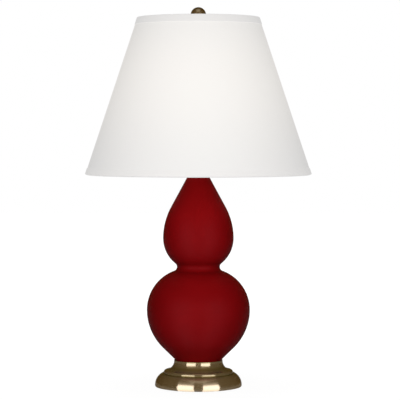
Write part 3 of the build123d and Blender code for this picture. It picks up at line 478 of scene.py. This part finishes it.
class Slant:
    """The cloth's outer face, as distances up the slant and out from it."""

    def __init__(self):
        low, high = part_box("shade_fabric")
        self.top_radius = radius_at("shade_fabric", high.z)
        self.bottom_radius = high.x
        drop = high.z - low.z
        spread = self.bottom_radius - self.top_radius
        tilt = math.atan2(spread, drop)
        self.sin = math.sin(tilt)
        self.cos = math.cos(tilt)
        self.bottom = low.z + CLOTH_THICKNESS * self.sin
        self.length = (high.z - self.bottom) / self.cos

    def point(self, along, outward):
        radius = self.bottom_radius - along * self.sin + outward * self.cos
        return (radius, self.bottom + along * self.cos + outward * self.sin)

    def line(self, first, last, outward, rows):
        return [self.point(first + (last - first) * row / rows, outward) for row in range(rows + 1)]


def make_cloth(slant, material, seam_material):
    outline = slant.line(CLOTH_TUCK, slant.length - CLOTH_TUCK, 0, CLOTH_ROWS)
    cloth = turned("shade_cloth", outline)
    thicken(cloth, CLOTH_THICKNESS, -1)
    finish_piece(cloth, "shade", "shade_linen", material, "shade_fabric")
    seam = make_seam(slant, seam_material)


def back_strip(name, outline, width):
    """Strip of a turned face at the back, as wide all the way up."""
    narrowest = min(radius for radius, _height in outline)
    reach = math.asin(width / narrowest)
    strip = turned(name, outline, start=BACK - reach, turn=2 * reach, steps=STRIP_STEPS)
    cut_beyond(strip, width / 2, 1)
    cut_beyond(strip, -width / 2, -1)
    return strip


def make_seam(slant, material):
    """Lapped seam up the back of the cloth."""
    first = BOTTOM_TAPE_LEG - SEAM_TUCK
    last = slant.length - TOP_TAPE_LEG + SEAM_TUCK
    seam = back_strip("shade_seam", slant.line(first, last, SEAM_LIFT, CLOTH_ROWS), SEAM_WIDTH)
    thicken(seam, SEAM_THICKNESS, 0)
    return finish_piece(seam, "shade", "shade_linen", material)


def tape_outline(slant, edge, upward, leg):
    """Line of the tape folded over an edge of the shade, from its outer leg to its inner one."""
    points = [(leg, TAPE_LIFT), (leg / 2, TAPE_LIFT)]
    corners = ((TAPE_LIFT - TAPE_CORNER, 0), (TAPE_CORNER - TAPE_DEPTH, math.pi / 2))
    for middle, first in corners:
        for step in range(TAPE_CORNER_STEPS + 1):
            turn = first + math.pi / 2 * step / TAPE_CORNER_STEPS
            along = TAPE_CORNER * (1 - math.sin(turn)) - TAPE_LIFT
            points.append((along, middle + TAPE_CORNER * math.cos(turn)))
    points.append((TAPE_INNER_LEG, -TAPE_DEPTH))
    return [slant.point(edge + upward * along, outward) for along, outward in points]


def make_tape(slant, name, node, edge, upward, leg, material):
    outline = tape_outline(slant, edge, upward, leg)
    tape = turned(name, outline)
    thicken(tape, TAPE_THICKNESS, 0)
    finish_piece(tape, "shade", "shade_tape", material, node)
    lap_line = [slant.point(edge + upward * along, LAP_LIFT) for along in (leg, TAPE_CORNER)]
    lap = back_strip(name + "_lap", lap_line, LAP_WIDTH)
    thicken(lap, TAPE_THICKNESS / 2, 0)
    finish_piece(lap, "shade", "shade_tape", material)
    length = 2 * math.pi * slant.point(edge, 0)[0]


def make_felt(material):
    low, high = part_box("felt_pad")
    radius = high.x
    outline = [(0, low.z)]
    for step in range(FELT_ROUND_STEPS + 1):
        turn = math.pi / 2 * step / FELT_ROUND_STEPS
        inset = FELT_ROUND * (1 - math.sin(turn))
        outline.append((radius - inset, low.z + FELT_ROUND * (1 - math.cos(turn))))
    outline += [(radius, high.z), (0, high.z)]
    felt = finish_piece(turned("felt_disc", outline), "stand", "felt", material, "felt_pad")


def make_stud(material):
    """Harp stud, its thread drawn as rings."""
    low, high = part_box("harp_stud")
    hub_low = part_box("spider_hub")[0].z
    eye_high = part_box("harp")[1].z
    head_radius = radius_at("harp_stud", low.z)
    flange_radius = high.x
    crest = radius_at("harp_stud", high.z)
    root = crest - THREAD_DEPTH
    shank = crest - 2 * THREAD_DEPTH
    head_top = low.z + STUD_HEAD
    outline = [
        (0, low.z), (head_radius, low.z), (head_radius, head_top), (shank, head_top),
        (shank, eye_high), (flange_radius, eye_high), (flange_radius, hub_low), (root, hub_low),
    ]
    turns = int((high.z - STUD_CHAMFER - hub_low) / THREAD_PITCH)
    for turn in range(turns):
        z = hub_low + turn * THREAD_PITCH
        outline += [(crest, z + THREAD_PITCH / 2), (root, z + THREAD_PITCH)]
    outline += [(root - STUD_CHAMFER, high.z), (0, high.z)]
    stud = turned("threaded_stud", outline, steps=STUD_STEPS)
    finish_piece(stud, "swivel", "hardware_brass", material, "harp_stud")


# Finishes
def red_glaze():
    finish = new_finish("deep_red_glaze")
    _x, _y, z = finish.axes()
    cloud = finish.noise(scale=18.0, detail=3.0)
    fine = finish.noise(scale=700.0, detail=1.0)
    # darker band at the waist crease: glaze pooled there, and painted shade of the crease
    waist_pool_and_shade = finish.hump(z, WAIST_HEIGHT, WAIST_SPREAD)
    tone = cloud * 0.75 + fine * 0.25 - waist_pool_and_shade * 0.25
    colour = finish.mix(tone, srgb(112, 6, 9), srgb(136, 9, 14))
    return finish.surface(
        Base_Color=colour,
        Roughness=0.42 + cloud * 0.08,
        Specular_Level=0.02,
        Normal=finish.bump(finish.noise(scale=90.0), strength=0.05, distance=0.6 * MM),
    )


def lathe_lines(finish, scale):
    """Fine lines that the lathe leaves round a turned piece, with its height."""
    x, y, z = finish.axes()
    radius = (x * x + y * y) ** 0.5
    return finish.noise(scale, detail=1.0, vector=finish.join(radius, 0.0, z)), z


def brass(name, bright, dull, roughness):
    """Plain brass of the fittings."""
    finish = new_finish(name)
    lines, _z = lathe_lines(finish, scale=1400.0)
    cloud = finish.noise(scale=45.0, detail=4.0)
    return finish.surface(
        Base_Color=finish.mix(cloud * 0.7 + lines * 0.3, dull, bright),
        Metallic=1.0,
        Roughness=roughness + cloud * 0.1,
        Normal=finish.bump(lines, strength=0.04, distance=0.2 * MM),
    )


def antique_brass():
    """Brushed brass under clear lacquer, with dark patina left in the cove and groove, and painted shade in
    a band round the collar's top under the ceramic.
    """
    finish = new_finish("lacquered_brass")
    lines, z = lathe_lines(finish, scale=900.0)
    cloud = finish.noise(scale=45.0, detail=4.0)
    metal = finish.mix(cloud * 0.7 + lines * 0.3, srgb(172, 150, 114), srgb(192, 171, 138))
    cove = finish.hump(z, COVE_LOW, COVE_SPREAD)
    groove = finish.hump(z, GROOVE_HEIGHT, GROOVE_SPREAD)
    # painted shade: a dark band round the collar's top, under the ceramic
    collar_shade = finish.hump(z, COLLAR_TOP, COLLAR_SHADE_SPREAD)
    # patina of the cove and groove, together with the painted shade at the collar's top
    patina_and_shade = finish.maths("MINIMUM", cove + groove + collar_shade, 1.0)
    return finish.surface(
        Base_Color=finish.mix(patina_and_shade, metal, srgb(118, 102, 58)),
        Metallic=0.86 - patina_and_shade * 0.36 - cloud * 0.06,
        Roughness=0.15 + cloud * 0.05,
        Specular_Tint=srgb(190, 160, 96),
        Anisotropic=1.0,
        Anisotropic_Rotation=0.25,
        Coat_Weight=0.5 - patina_and_shade * 0.25,
        Coat_Roughness=0.1,
        Normal=finish.bump(lines, strength=0.04, distance=0.2 * MM),
    )


def steel(name, colour, roughness):
    finish = new_finish(name)
    spangle = finish.noise(scale=220.0, detail=3.0)
    dark = tuple(channel * 0.75 for channel in colour[:3]) + (1.0,)
    return finish.surface(
        Base_Color=finish.mix(spangle, dark, colour),
        Metallic=1.0,
        Roughness=roughness + spangle * 0.15,
        Normal=finish.bump(finish.noise(scale=900.0), strength=0.05, distance=0.2 * MM),
    )


def felt_cloth():
    finish = new_finish("dark_felt")
    fibre = finish.noise(scale=1400.0, detail=4.0, roughness=0.8)
    return finish.surface(
        Base_Color=finish.mix(fibre, srgb(26, 24, 22), srgb(58, 54, 50)),
        Roughness=0.95,
        Sheen_Weight=0.3,
        Normal=finish.bump(fibre, strength=0.6, distance=0.4 * MM),
    )


def cork():
    finish = new_finish("cork_grain")
    grain = finish.add("ShaderNodeTexVoronoi", inputs={"Vector": finish.place(), "Scale": 650.0})
    colour = finish.mix(grain, srgb(168, 128, 88), srgb(92, 62, 38))
    grit = finish.bump(grain, strength=0.4, distance=0.3 * MM)
    return finish.surface(Base_Color=colour, Roughness=0.85, Normal=grit)


def moulded(name, dark, light, roughness, grain):
    """Moulded plastic with a fine grain."""
    finish = new_finish(name)
    speck = finish.noise(scale=1100.0)
    return finish.surface(
        Base_Color=finish.mix(speck, dark, light),
        Roughness=roughness + speck * 0.1,
        Normal=finish.bump(speck, strength=grain, distance=0.2 * MM),
    )


def kraft_board():
    finish = new_finish("kraft_fibre")
    fibre = finish.noise(scale=500.0, detail=4.0)
    colour = finish.mix(fibre, srgb(136, 104, 68), srgb(186, 152, 108))
    nap = finish.bump(fibre, strength=0.2, distance=0.2 * MM)
    return finish.surface(Base_Color=colour, Roughness=0.8, Normal=nap)


def frosted_glass():
    finish = new_finish("frosted_bulb")
    _x, _y, z = finish.axes()
    cloud = finish.noise(scale=60.0)
    hot = finish.hump(z, BULB_HOT_HEIGHT, BULB_HOT_SPREAD)
    glow = finish.mix(hot * 0.8 + cloud * 0.1, srgb(255, 238, 214), srgb(255, 250, 240))
    return finish.surface(
        Base_Color=finish.mix(cloud, srgb(166, 164, 159), srgb(176, 174, 169)),
        Roughness=0.35 + cloud * 0.1,
        Emission_Color=glow,
        Emission_Strength=BULB_GLOW,
    )


def clear_glass():
    finish = new_finish("clear_stem")
    streak = finish.noise(scale=300.0)
    return finish.surface(
        Base_Color=finish.mix(streak, srgb(226, 234, 234), srgb(246, 250, 250)),
        Roughness=0.05 + streak * 0.05,
        Transmission_Weight=0.9,
    )


def weave(finish, threads, rows):
    """Height of a plain weave that runs round and up the shade."""
    x, y, z = finish.axes()
    bearing = finish.maths("ARCTAN2", x, y * -1)
    warp = finish.maths("SINE", bearing * threads)
    weft = finish.maths("SINE", z * rows)
    slub = finish.noise(scale=1.0, detail=3.0, vector=finish.join(bearing * SLUB_ROUND, z * SLUB_RISE, 0.0))
    return warp * weft * 0.5 + 0.5, slub, z


def shade_cloth(name, glow):
    """Woven cloth with the bulb's light coming through it."""
    finish = new_finish(name)
    thread, slub, z = weave(finish, CLOTH_WARP, CLOTH_WEFT)
    tone = thread * 0.35 + slub * 0.65
    lit = finish.hump(z, CLOTH_LIT_HEIGHT, CLOTH_LIT_SPREAD)
    return finish.surface(
        Base_Color=finish.mix(tone, srgb(139, 138, 137), srgb(147, 146, 145)),
        Roughness=0.9,
        Specular_Level=0.1,
        Normal=finish.bump(thread * 0.5 + slub, strength=0.12, distance=0.3 * MM),
        Emission_Color=finish.mix(lit, srgb(233, 233, 233), srgb(255, 252, 248)),
        Emission_Strength=glow,
    )


def shade_tape():
    finish = new_finish("woven_tape")
    thread, slub, _z = weave(finish, TAPE_WARP, TAPE_WEFT)
    tone = thread * 0.4 + slub * 0.6
    return finish.surface(
        Base_Color=finish.mix(tone, srgb(130, 128, 127), srgb(140, 138, 137)),
        Roughness=0.9,
        Specular_Level=0.1,
        Normal=finish.bump(thread * 0.6 + slub, strength=0.15, distance=0.3 * MM),
        Emission_Color=finish.mix(tone, srgb(240, 239, 238), srgb(250, 249, 248)),
        Emission_Strength=TAPE_GLOW,
    )


def styrene():
    finish = new_finish("white_styrene")
    _x, _y, z = finish.axes()
    cloud = finish.noise(scale=30.0)
    lit = finish.hump(z, LINING_LIT_HEIGHT, LINING_LIT_SPREAD)
    return finish.surface(
        Base_Color=finish.mix(cloud, srgb(236, 233, 226), srgb(244, 242, 236)),
        Roughness=0.45 + cloud * 0.1,
        Emission_Color=finish.mix(lit, srgb(120, 104, 84), srgb(255, 232, 198)),
        Emission_Strength=LINING_GLOW,
    )


FINISHES = {
    "felt": felt_cloth(),
    "antique_brass": antique_brass(),
    "red_glaze": red_glaze(),
    "cork": cork(),
    "zinc_steel": steel("zinc_plate", srgb(198, 198, 194), 0.3),
    "hardware_brass": brass("fitting_brass", srgb(226, 190, 122), srgb(190, 150, 88), 0.2),
    "contact_brass": brass("terminal_brass", srgb(232, 202, 140), srgb(206, 172, 108), 0.25),
    "black_plastic": moulded("black_moulding", srgb(16, 16, 16), srgb(30, 30, 30), 0.4, 0.2),
    "phenolic": moulded("brown_moulding", srgb(38, 26, 18), srgb(58, 42, 30), 0.25, 0.1),
    "kraft_board": kraft_board(),
    "shaft_steel": steel("bright_steel", srgb(186, 186, 186), 0.25),
    "bulb_metal": steel("bulb_alloy", srgb(214, 214, 212), 0.28),
    "frosted_glass": frosted_glass(),
    "clear_glass": clear_glass(),
    "shade_linen": shade_cloth("woven_linen", CLOTH_GLOW),
    "shade_tape": shade_tape(),
    "styrene": styrene(),
}


def dress_nodes():
    """Give every CAD node the finish of its material slot."""
    for subpart in frame["record"]["subparts"]:
        mesh = frame["nodes"][subpart["node"]].data
        mesh.materials.clear()
        mesh.materials.append(FINISHES[subpart["material_slot"]])


make_camera()
make_soft_light("key", 0, KEY_REACH, KEY_RISE, KEY_SIZE, KEY_POWER)
for side_name, side in (("left", -1), ("right", 1)):
    make_soft_light("fill_" + side_name, side * FILL_BEARING, FILL_REACH, KEY_RISE, FILL_SIZE, FILL_POWER)
    make_panel("panel_" + side_name, side * PANEL_BEARING)
make_world()
make_floor()
make_walls()
make_ceiling()
dress_nodes()
shade_slant = Slant()
make_cloth(shade_slant, FINISHES["shade_linen"], shade_cloth("doubled_linen", SEAM_GLOW))
tape = FINISHES["shade_tape"]
make_tape(shade_slant, "bottom_tape", "shade_bottom_trim", 0, 1, BOTTOM_TAPE_LEG, tape)
make_tape(shade_slant, "top_tape", "shade_top_trim", shade_slant.length, -1, TOP_TAPE_LEG, tape)
make_felt(FINISHES["felt"])
make_stud(FINISHES["hardware_brass"])
bpy.context.scene.view_settings.view_transform = "Standard"
